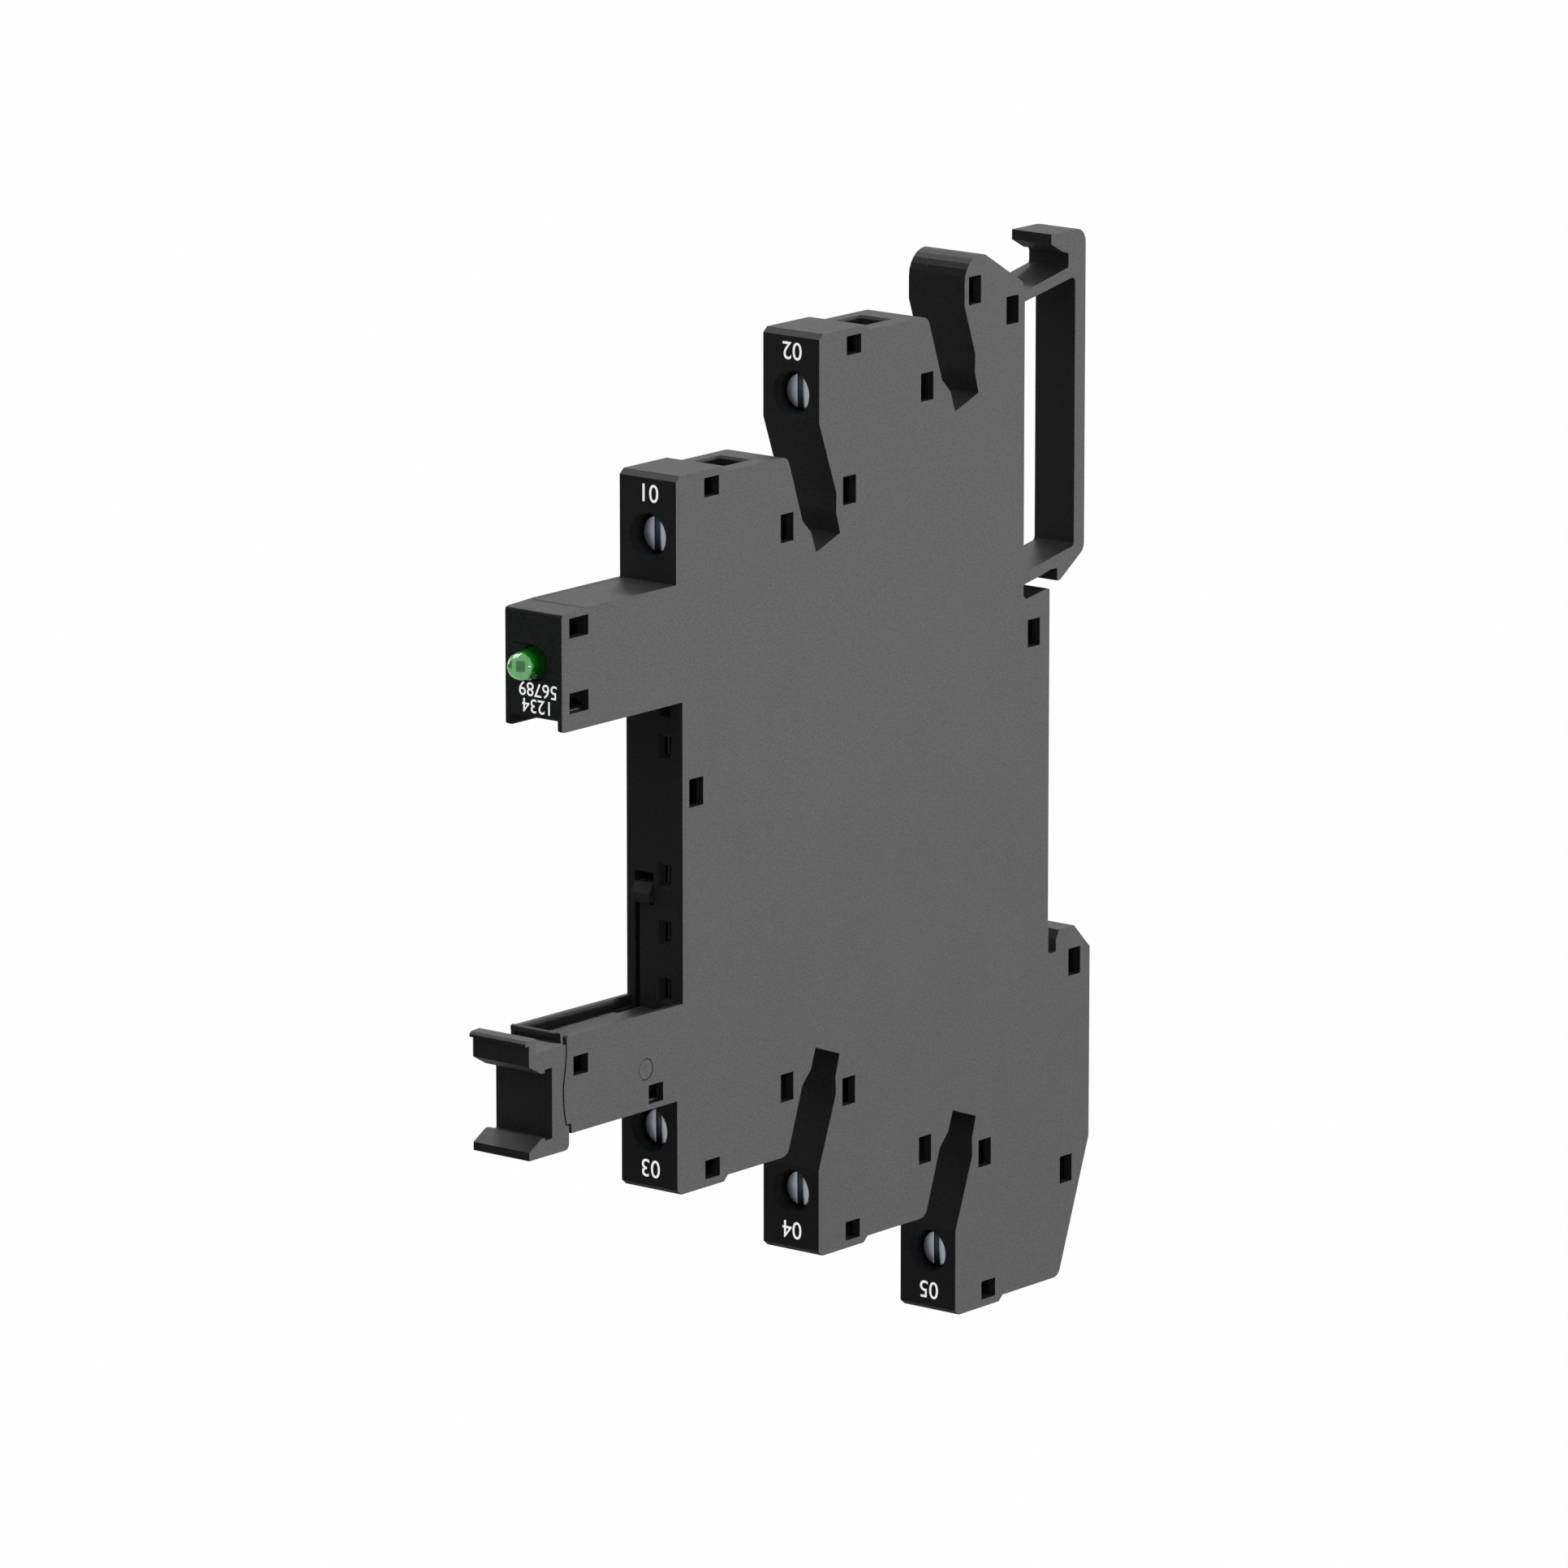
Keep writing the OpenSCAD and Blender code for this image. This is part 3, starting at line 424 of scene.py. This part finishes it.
def lamp_glow(name, look, front):
    """Lit resin in the lens: a pale end with the chip in its middle, and a side that fades into
    the arm and is painted lighter towards the top.
    """
    material, tree = new_material(name)
    where = add(tree, "ShaderNodeTexCoord").outputs["Object"]
    axes = add(tree, "ShaderNodeSeparateXYZ", Vector=where).outputs
    haze = stretch(tree, noise(tree, 0.3 * MM, detail=3.0), -0.05 * MM, 0.05 * MM)
    side = calc(tree, "SUBTRACT", axes["X"], LAMP_CENTRE.x)
    rise = calc(tree, "SUBTRACT", axes["Z"], LAMP_CENTRE.z)
    # Painted light: besides fading into the arm, the lit resin is made brighter towards the top,
    # as if lit from above.
    depth_fade_and_top_light = calc(tree, "MULTIPLY", ramp(tree, axes["Y"], ARM_FACE - 0.5 * MM, front),
                ramp(tree, rise, -1.2 * MM, 1.2 * MM))
    body = two_tones(tree, depth_fade_and_top_light, rgba(look.deep), rgba(look.body))
    pale = mottled(tree, noise(tree, 0.5 * MM), look.glow, 0.9, 1.1)
    pale = two_tones(tree, ramp(tree, side, -0.5 * MM, -1.0 * MM), pale, rgba(look.body, 2.2))
    for at_side, half, gain in CHIP_SQUARES:
        pale = two_tones(tree, soft_square(tree, side, rise, haze, at_side, half), pale,
                         rgba(look.glow, gain))
    end = ramp(tree, calc(tree, "ADD", axes["Y"], haze), front + 0.22 * MM, front + 0.12 * MM)
    glow = two_tones(tree, end, body, pale)
    surface(tree, Base_Color=two_tones(tree, end, rgba(look.deep), rgba(look.deep, 2.0)),
            Roughness=0.8, Specular_IOR_Level=0.0, Emission_Color=glow, Emission_Strength=1.0)
    return material


def soft_square(tree, side, rise, haze, at_side, half):
    """1 inside a square with uneven edges, and 0 outside it."""
    across = calc(tree, "ABSOLUTE", calc(tree, "SUBTRACT", side, at_side))
    upward = calc(tree, "ABSOLUTE", rise)
    reach = calc(tree, "ADD", calc(tree, "MAXIMUM", across, upward), haze)
    blur = 0.06 * MM
    return ramp(tree, reach, half + blur, half - blur)


def plain_finish(name, colour, roughness, specular=0.5, grain=0.2 * MM, depth=0.003 * MM,
                 spread=0.08):
    """Lacquer, resin or ceramic with a slight unevenness."""
    material, tree = new_material(name)
    fine = noise(tree, grain)
    surface(tree, Base_Color=mottled(tree, fine, colour, 1 - spread, 1 + spread),
            Roughness=stretch(tree, fine, roughness - 0.05, roughness + 0.05),
            Specular_IOR_Level=specular, Normal=bump(tree, fine, depth))
    return material


def glowing_ink(name, colour):
    """Matt white ink, a little uneven over the grain, with a painted glow that keeps it bright in
    the shade.
    """
    material = plain_finish(name, colour, 0.6, 0.2, 0.1 * MM, 0.002 * MM, 0.04)
    shader = material.node_tree.nodes["Principled BSDF"]
    # Painted light: the ink glows in its own colour so that it stays white in the shade.
    shader.inputs["Emission Color"].default_value = rgba(colour)
    shader.inputs["Emission Strength"].default_value = 0.9
    return material


def hairline(name, low, high, material):
    """Thin strip from one corner to the other, on a face of the housing."""
    low, high = Vector(low), Vector(high)
    bpy.ops.mesh.primitive_cube_add(size=1, location=(low + high) / 2)
    strip = named(name)
    strip.scale = high - low
    settle(strip, material, "base", smooth=0)


# ---------------------------------------------------------------- operators


class SOCKET_OT_plastics(bpy.types.Operator):
    """Give the housing, its lid and the ejector lever their moulded surface"""

    bl_idname = "socket.plastics"
    bl_label = "Housing, Lid and Lever"

    def execute(self, context):
        look = context.scene.socket_plastics
        shell = moulded_plastic("Housing plastic", look.housing, look.grain_size, look.grain_depth)
        lever = moulded_plastic("Lever plastic", look.lever, look.grain_size, look.grain_depth,
                                shine=0.048)
        for node, material in (("housing", shell), ("side_lid", shell), ("ejector_lever", lever)):
            finish_node(node, material)
        return {"FINISHED"}


class SOCKET_OT_metalwork(bpy.types.Operator):
    """Give the clamp cages and the conductors their finish"""

    bl_idname = "socket.metalwork"
    bl_label = "Cages and Conductors"

    def execute(self, context):
        look = context.scene.socket_metals
        plated = plated_steel("Cage plating", look.cage, 0.38, brushed=1.0)
        strip = plated_steel("Tinned strip", look.strip, 0.45, brushed=1.0)
        for name in TERMINALS:
            finish_node("cage_" + name, plated)
            finish_node("conductor_" + name, strip)
        return {"FINISHED"}


class SOCKET_OT_screws(bpy.types.Operator):
    """Model one slotted clamp screw with its thread and copy it to every terminal"""

    bl_idname = "socket.screws"
    bl_label = "Clamp Screws"

    def execute(self, context):
        look = context.scene.socket_metals
        plating = plated_steel("Screw plating", look.screw, 0.34)
        low, high = SCREW_BOXES["a1"]
        screw = self.model(low, high, look)
        for name in TERMINALS:
            copy = screw.copy()
            copy.data = screw.data.copy()
            copy.name = copy.data.name = "clamp_screw_" + name
            context.collection.objects.link(copy)
            copy.location = SCREW_BOXES[name][0] - low
            settle(copy, plating, "screw_" + name, smooth=35)
            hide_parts("screw_" + name)
        bpy.data.objects.remove(screw)
        return {"FINISHED"}

    def model(self, low, high, look):
        """Head with a bevelled rim and a slot, and a shank with a thread, along the depth."""
        head_radius = (high.x - low.x) / 2
        centre = Vector(((low.x + high.x) / 2, 0, (low.z + high.z) / 2))
        head_length, shank_radius = 1.93 * MM, 1.25 * MM
        bpy.ops.mesh.primitive_cylinder_add(
            vertices=64, radius=head_radius, depth=head_length, end_fill_type="NGON",
            rotation=(math.pi / 2, 0, 0),
            location=(centre.x, low.y + head_length / 2, centre.z))
        head = named("clamp_screw")
        bpy.ops.object.transform_apply(location=True, rotation=True, scale=True)
        bpy.ops.object.mode_set(mode="EDIT")
        front, across = low.y + 0.001 * MM, 0.5 * MM
        pick_edges(head, lambda a, b: max(a.y, b.y) < front and (a - b).length < across)
        bpy.ops.mesh.bevel(offset=look.rim, segments=4, profile=0.6, affect="EDGES")
        bpy.ops.object.mode_set(mode="OBJECT")
        self.cut_slot(head, low, centre)
        shank = self.thread(low.y + head_length, high.y, shank_radius, centre, look)
        deselect()
        shank.select_set(True)
        head.select_set(True)
        bpy.context.view_layer.objects.active = head
        bpy.ops.object.join()
        return head

    def cut_slot(self, head, low, centre):
        """Driver slot with its edges broken, right across the head."""
        width, depth, reach = 0.7 * MM, 0.8 * MM, 4 * MM
        bpy.ops.mesh.primitive_cube_add(size=1, location=(centre.x, low.y, centre.z))
        slot = named("slot_cutter")
        slot.scale = (width, depth * 2, reach)
        bpy.ops.object.transform_apply(location=True, rotation=True, scale=True)
        bpy.ops.object.mode_set(mode="EDIT")
        pick_edges(slot, lambda a, b: min(a.y, b.y) > low.y)
        bpy.ops.mesh.bevel(offset=0.08 * MM, segments=3, affect="EDGES")
        bpy.ops.object.mode_set(mode="OBJECT")
        cut = head.modifiers.new("Slot", "BOOLEAN")
        cut.object = slot
        cut.operation = "DIFFERENCE"
        cut.solver = "EXACT"
        apply_modifiers(head)
        bpy.data.objects.remove(slot)
        edge = head.modifiers.new("Broken edges", "BEVEL")
        edge.width = 0.04 * MM
        edge.segments = 2
        edge.limit_method = "ANGLE"
        edge.angle_limit = math.radians(50)
        apply_modifiers(head)

    def thread(self, start, end, radius, centre, look):
        """Shank with ring-shaped thread crests."""
        bpy.ops.mesh.primitive_cylinder_add(
            vertices=40, radius=radius - look.thread_depth, depth=end - start,
            end_fill_type="NGON", rotation=(math.pi / 2, 0, 0),
            location=(centre.x, (start + end) / 2, centre.z))
        shank = named("shank")
        bpy.ops.object.transform_apply(location=True, rotation=True, scale=True)
        plain, near = 0.3 * MM, 0.02 * MM
        turns = int((end - start - 2 * plain) / look.thread_pitch)
        bpy.ops.object.mode_set(mode="EDIT")
        for turn in range(turns * 2 + 1):
            bpy.ops.mesh.select_all(action="SELECT")
            at = start + plain + turn * look.thread_pitch / 2
            bpy.ops.mesh.bisect(plane_co=(centre.x, at, centre.z), plane_no=(0, 1, 0))
        crests = [start + plain + (turn + 0.5) * look.thread_pitch for turn in range(turns)]
        mesh = bmesh.from_edit_mesh(shank.data)
        for vertex in mesh.verts:
            if any(abs(vertex.co.y - crest) < near for crest in crests):
                away = Vector((vertex.co.x - centre.x, 0, vertex.co.z - centre.z))
                vertex.co += away.normalized() * look.thread_depth
        bmesh.update_edit_mesh(shank.data)
        bpy.ops.object.mode_set(mode="OBJECT")
        return shank


class SOCKET_OT_circuit(bpy.types.Operator):
    """Give the lamp circuit in the upper arm its finishes"""

    bl_idname = "socket.circuit"
    bl_label = "Lamp Circuit"

    def execute(self, context):
        for node, (colour, roughness) in CIRCUIT.items():
            finish_node(node, plain_finish(node.replace("_", " "), colour, roughness))
        return {"FINISHED"}


class SOCKET_OT_lamp(bpy.types.Operator):
    """Model the lamp's glowing lens, finish its leads, and draw the slit over it"""

    bl_idname = "socket.lamp"
    bl_label = "Indicator Lamp"

    def execute(self, context):
        look = context.scene.socket_lamp
        collar = 0.2 * MM
        radius = (LAMP_HIGH.x - LAMP_LOW.x) / 2 - collar
        lens = self.lathe("lamp_lens", LAMP_HIGH.y, self.lens_rings(look, radius, collar))
        settle(lens, tinted_lens("Lamp lens", look.lens), "base", smooth=40)
        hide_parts("led")
        front = LAMP_LOW.y + 1.15 * MM
        core = self.lathe("lamp_core", LAMP_HIGH.y - 0.3 * MM,
                          self.core_rings(look, radius - 0.15 * MM, front))
        settle(core, lamp_glow("Lamp glow", look, front), "base", smooth=40)
        self.slit()
        tinned = plated_steel("Tinned wire", context.scene.socket_metals.wire, 0.36)
        for node in ("led_lead_1", "led_lead_2"):
            finish_node(node, tinned)
        return {"FINISHED"}

    def lens_rings(self, look, radius, collar):
        """Place along the depth and radius of each ring, from the back end to the tip."""
        wall, play, length, steps = 0.9 * MM, 0.05 * MM, 0.9 * MM, 10
        collar_front = ARM_FACE + wall + play
        collar_back = collar_front + length
        rings = [(LAMP_HIGH.y, radius), (collar_back, radius), (collar_back, radius + collar),
                 (collar_front, radius + collar), (collar_front, radius), (ARM_FACE, radius)]
        for step in range(steps):
            angle = math.radians(9.4 * step)
            rings.append((LAMP_LOW.y + look.dome_radius * (1 - math.sin(angle)),
                          look.dome_radius * math.cos(angle)))
        return rings

    def core_rings(self, look, radius, front):
        """The same for the lit resin, which ends in a rounded disc at the front."""
        return ((LAMP_HIGH.y, radius), (ARM_FACE, radius), (front + 0.35 * MM, look.core_radius),
                (front + 0.1 * MM, look.core_radius * 0.94), (front, look.core_radius * 0.7))

    def lathe(self, name, start, rings):
        """Round piece along the depth: a disc at its back end, pushed forward ring by ring."""
        bpy.ops.mesh.primitive_circle_add(
            vertices=64, radius=rings[0][1], fill_type="NGON", rotation=(-math.pi / 2, 0, 0),
            location=(LAMP_CENTRE.x, start, LAMP_CENTRE.z))
        piece = named(name)
        bpy.ops.object.transform_apply(location=True, rotation=True, scale=True)
        bpy.ops.object.mode_set(mode="EDIT")
        bpy.ops.mesh.select_all(action="SELECT")
        along, radius = start, rings[0][1]
        for place, next_radius in rings[1:]:
            bpy.ops.mesh.extrude_region_move(
                TRANSFORM_OT_translate={"value": (0, place - along, 0)})
            grow = next_radius / radius
            bpy.ops.transform.resize(value=(grow, 1, grow))
            along, radius = place, next_radius
        bpy.ops.mesh.select_all(action="SELECT")
        bpy.ops.mesh.normals_make_consistent(inside=False)
        bpy.ops.object.mode_set(mode="OBJECT")
        return piece

    def slit(self):
        """Hairline slit in the arm's face, from the top of the lamp's hole to the far side."""
        length, low, high = 2.3 * MM, 1.50 * MM, 1.56 * MM
        hairline("lamp_slit",
                 (LAMP_CENTRE.x - length, ARM_FACE - FILM, LAMP_CENTRE.z + low),
                 (LAMP_CENTRE.x, ARM_FACE, LAMP_CENTRE.z + high),
                 plain_finish("Dark slit", (0.006, 0.006, 0.006), 0.9, 0.0))


class SOCKET_OT_parting_lines(bpy.types.Operator):
    """Draw the parting lines between housing and lid on the top of the upper arm"""

    bl_idname = "socket.parting_lines"
    bl_label = "Parting Lines"

    def execute(self, context):
        look = context.scene.socket_plastics
        shade = moulded_plastic("Parting line", [0.66 * part for part in look.housing],
                                look.grain_size, look.grain_depth)
        low = LAMP_CENTRE.z + ARM_HALF_HEIGHT
        high = low + FILM
        across, far, near, width = -64.4 * MM, -2.62 * MM, 3.0 * MM, 0.07 * MM
        hairline("parting_line_across", (far, across - width, low), (near, across, high), shade)
        hairline("parting_line_along", (far - width, across, low), (far, TOWER_FACE, high), shade)
        return {"FINISHED"}


class SOCKET_OT_marks(bpy.types.Operator):
    """Print the numbers at the terminals and under the lamp"""

    bl_idname = "socket.marks"
    bl_label = "Printed Marks"

    def execute(self, context):
        look = context.scene.socket_marks
        ink = glowing_ink("Glowing white ink", look.ink)
        for name, text, small, at in PRINTS:
            height = look.small_height if small else look.height
            self.mark(name, text, height, at, look.film, ink)
        return {"FINISHED"}

    def mark(self, name, text, height, at, film, ink):
        """One printed word, upside down on a face that looks to the front."""
        bpy.ops.object.text_add(rotation=(math.pi / 2, math.pi, 0),
                                location=(at[0] * MM, at[1] * MM - film / 2, at[2] * MM))
        word = named(name)
        word.data.body = text
        word.data.align_x = "CENTER"
        word.data.align_y = "CENTER"
        word.data.size = height / CAPITAL_SHARE
        word.data.extrude = film / 2
        word.data.resolution_u = 6
        take(word)
        bpy.ops.object.convert(target="MESH")
        bpy.ops.object.mode_set(mode="EDIT")
        bpy.ops.mesh.select_all(action="SELECT")
        bpy.ops.mesh.remove_doubles(threshold=0.001 * MM)
        bpy.ops.mesh.normals_make_consistent(inside=False)
        bpy.ops.object.mode_set(mode="OBJECT")
        settle(bpy.context.object, ink, "base", smooth=0)


class SOCKET_OT_studio(bpy.types.Operator):
    """Set up the camera, the lamps, the floor and the pale surroundings"""

    bl_idname = "socket.studio"
    bl_label = "Studio"

    def execute(self, context):
        look = context.scene.socket_studio
        self.camera(context, look)
        self.floor(look)
        self.world(context.scene)
        for sun in SUNS:
            self.sun(*sun)
        # Seen only as a sheen on the faces that slope up to the front
        sheen = self.sun("Sheen light", (-0.61, 0.10, 0.78), 4.6, 40)
        sheen.visible_diffuse = False
        context.scene.view_settings.view_transform = "Standard"
        return {"FINISHED"}

    def camera(self, context, look):
        """Camera at the place and angle of the settings."""
        bpy.ops.object.camera_add(location=look.place,
                                  rotation=(math.pi / 2 - look.elevation, 0, look.azimuth))
        camera = named("Camera")
        camera.data.lens = look.lens
        camera.data.sensor_width = 36
        camera.data.clip_start = 10 * MM
        context.scene.camera = camera

    def sun(self, name, toward, strength, softness):
        """One distant light."""
        bpy.ops.object.light_add(type="SUN")
        lamp = named(name)
        lamp.rotation_euler = Vector(toward).to_track_quat("Z", "Y").to_euler()
        lamp.data.energy = strength
        lamp.data.angle = math.radians(softness)
        return lamp

    def seen(self, tree):
        """1 for camera, mirror and see-through rays, and 0 for light that scatters."""
        path = add(tree, "ShaderNodeLightPath").outputs
        first = calc(tree, "MAXIMUM", path["Is Camera Ray"], path["Is Glossy Ray"])
        return calc(tree, "MAXIMUM", first, path["Is Transmission Ray"])

    def floor(self, look):
        """Pale floor that shows white and keeps a faint shadow."""
        bpy.ops.mesh.primitive_plane_add(
            size=12, location=(0, 0, CAD_BOX[0][2] - look.floor_drop))
        floor = named("floor")
        bpy.ops.object.transform_apply(location=True, rotation=True, scale=True)
        material, tree = new_material("Pale floor")
        lit = add(tree, "ShaderNodeBsdfDiffuse", Color=(0.05, 0.05, 0.05, 1))
        glow = add(tree, "ShaderNodeEmission", Color=(0.96, 0.96, 0.96, 1),
                   Strength=self.seen(tree))
        both = tree.nodes.new("ShaderNodeAddShader")
        tree.links.new(lit.outputs["BSDF"], both.inputs[0])
        tree.links.new(glow.outputs["Emission"], both.inputs[1])
        add(tree, "ShaderNodeOutputMaterial", Surface=both.outputs["Shader"])
        floor.data.materials.append(material)
        deselect()

    def world(self, scene):
        """White to the eye and in mirrors, and a dim cool fill for everything else."""
        world = bpy.data.worlds.new("Studio air")
        scene.world = world
        world.use_nodes = True
        tree = world.node_tree
        tree.nodes.clear()
        colour = two_tones(tree, self.seen(tree), (0.040, 0.044, 0.053, 1), (1, 1, 1, 1))
        back = add(tree, "ShaderNodeBackground", Color=colour, Strength=1.0)
        add(tree, "ShaderNodeOutputWorld", Surface=back.outputs["Background"])


PIECES = (SOCKET_OT_plastics, SOCKET_OT_metalwork, SOCKET_OT_screws, SOCKET_OT_circuit,
          SOCKET_OT_lamp, SOCKET_OT_parting_lines, SOCKET_OT_marks, SOCKET_OT_studio)


class SOCKET_PT_panel(bpy.types.Panel):
    """Buttons and settings of the relay socket"""

    bl_idname = "SOCKET_PT_panel"
    bl_label = "Relay Socket"
    bl_space_type = "VIEW_3D"
    bl_region_type = "UI"
    bl_category = "Relay Socket"

    def draw(self, context):
        column = self.layout.column()
        for piece in PIECES:
            column.operator(piece.bl_idname)
        for group in SETTINGS:
            settings = getattr(context.scene, group)
            box = self.layout.box()
            for name in settings.bl_rna.properties.keys():
                if name not in ("rna_type", "name"):
                    box.prop(settings, name)


def register():
    for group in SETTINGS.values():
        bpy.utils.register_class(group)
    for name, group in SETTINGS.items():
        setattr(bpy.types.Scene, name, PointerProperty(type=group))
    for piece in PIECES:
        bpy.utils.register_class(piece)
    bpy.utils.register_class(SOCKET_PT_panel)


def unregister():
    bpy.utils.unregister_class(SOCKET_PT_panel)
    for piece in reversed(PIECES):
        bpy.utils.unregister_class(piece)
    for name in SETTINGS:
        delattr(bpy.types.Scene, name)
    for group in reversed(list(SETTINGS.values())):
        bpy.utils.unregister_class(group)


def main():
    register()
    bpy.ops.socket.plastics()
    bpy.ops.socket.metalwork()
    bpy.ops.socket.screws()
    bpy.ops.socket.circuit()
    bpy.ops.socket.lamp()
    bpy.ops.socket.parting_lines()
    bpy.ops.socket.marks()
    bpy.ops.socket.studio()


if __name__ == "__main__":
    main()
